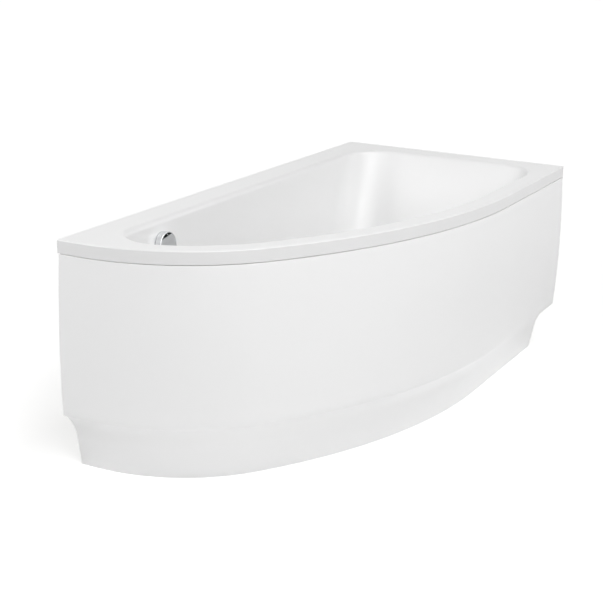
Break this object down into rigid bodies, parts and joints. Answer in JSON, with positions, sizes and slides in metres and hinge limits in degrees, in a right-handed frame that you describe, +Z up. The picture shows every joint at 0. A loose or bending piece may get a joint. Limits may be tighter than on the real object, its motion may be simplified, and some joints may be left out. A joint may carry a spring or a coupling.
{
  "type": "corner bathtub",
  "caption": "Asymmetric acrylic corner bathtub with one curved front panel, leg frame, pop-up waste, trap and turning overflow knob.",
  "frame": {"origin": "on the floor, in the middle of the bath's overall box", "axes": "+Z up; the long wall is on the +Y side and the end wall on the +X side; the front panel faces -Y and the narrow end is at -X"},
  "size_m": [1.5069, 0.7069, 0.57],
  "materials": {
    "acrylic_white": "polished sanitary acrylic",
    "glass_fibre": "sprayed glass-fibre resin",
    "chipboard": "raw chipboard",
    "zinc_steel": "galvanised",
    "spring_steel": "bright spring steel",
    "zinc_fasteners": "zinc plated",
    "chrome": "polished chrome",
    "black_rubber": "matt",
    "black_plastic": "moulded",
    "black_sheath": "extruded",
    "white_polypropylene": "moulded"
  },
  "bodies": {
    "bath": {"base_board": "chipboard", "bath_shell": "acrylic_white", "control_cable": "black_sheath", "leg_rail_narrow_end": "zinc_steel", "leg_rail_wide_end": "zinc_steel", "outlet_nut": "white_polypropylene", "outlet_pipe": "white_polypropylene", "overflow_elbow": "white_polypropylene", "overflow_flange": "chrome", "overflow_pipe": "white_polypropylene", "overflow_seal": "black_rubber", "panel_clips": "spring_steel", "panel_floor_brackets": "zinc_steel", "rail_screws": "zinc_fasteners", "rod_nuts": "zinc_fasteners", "shell_reinforcement": "glass_fibre", "trap_body": "white_polypropylene", "trap_cap": "white_polypropylene", "trap_nut": "white_polypropylene", "wall_bracket_end_wall": "zinc_steel", "wall_bracket_narrow_end": "zinc_steel", "wall_bracket_wide_end": "zinc_steel", "waste_body": "white_polypropylene", "waste_flange": "chrome", "waste_gasket": "black_rubber"},
    "panel": {"front_panel": "acrylic_white"},
    "knob": {"overflow_knob": "chrome"},
    "plug": {"waste_plug": "chrome", "plug_seal": "black_rubber"},
    "foot_wide_back": {"foot_rod_wide_back": "zinc_fasteners", "foot_pad_wide_back": "black_plastic"},
    "foot_wide_front": {"foot_rod_wide_front": "zinc_fasteners", "foot_pad_wide_front": "black_plastic"},
    "foot_narrow_back": {"foot_rod_narrow_back": "zinc_fasteners", "foot_pad_narrow_back": "black_plastic"},
    "foot_narrow_front": {"foot_rod_narrow_front": "zinc_fasteners", "foot_pad_narrow_front": "black_plastic"}
  },
  "joints": [
    {"name": "panel_pull", "type": "slide", "parent": "bath", "child": "panel", "axis": [0, -1, 0], "range_m": [0, 0.75]},
    {"name": "knob_turn", "type": "hinge", "parent": "bath", "child": "knob", "pos_m": [-0.4555, 0.24827, 0.50696], "axis": [0, -0.9953, 0.0972], "range_deg": [0, 90]},
    {"name": "plug_lift", "type": "slide", "parent": "bath", "child": "plug", "axis": [0, 0, 1], "range_m": [0, 0.01]},
    {"name": "foot_height_wide_back", "type": "slide", "parent": "bath", "child": "foot_wide_back", "axis": [0, 0, 1], "range_m": [-0.015, 0.012]},
    {"name": "foot_height_wide_front", "type": "slide", "parent": "bath", "child": "foot_wide_front", "axis": [0, 0, 1], "range_m": [-0.015, 0.012]},
    {"name": "foot_height_narrow_back", "type": "slide", "parent": "bath", "child": "foot_narrow_back", "axis": [0, 0, 1], "range_m": [-0.015, 0.012]},
    {"name": "foot_height_narrow_front", "type": "slide", "parent": "bath", "child": "foot_narrow_front", "axis": [0, 0, 1], "range_m": [-0.015, 0.012]}
  ],
  "couplings": [
    {"joint": "plug_lift", "follows": "knob_turn", "m_per_rad": 0.006366}
  ]
}
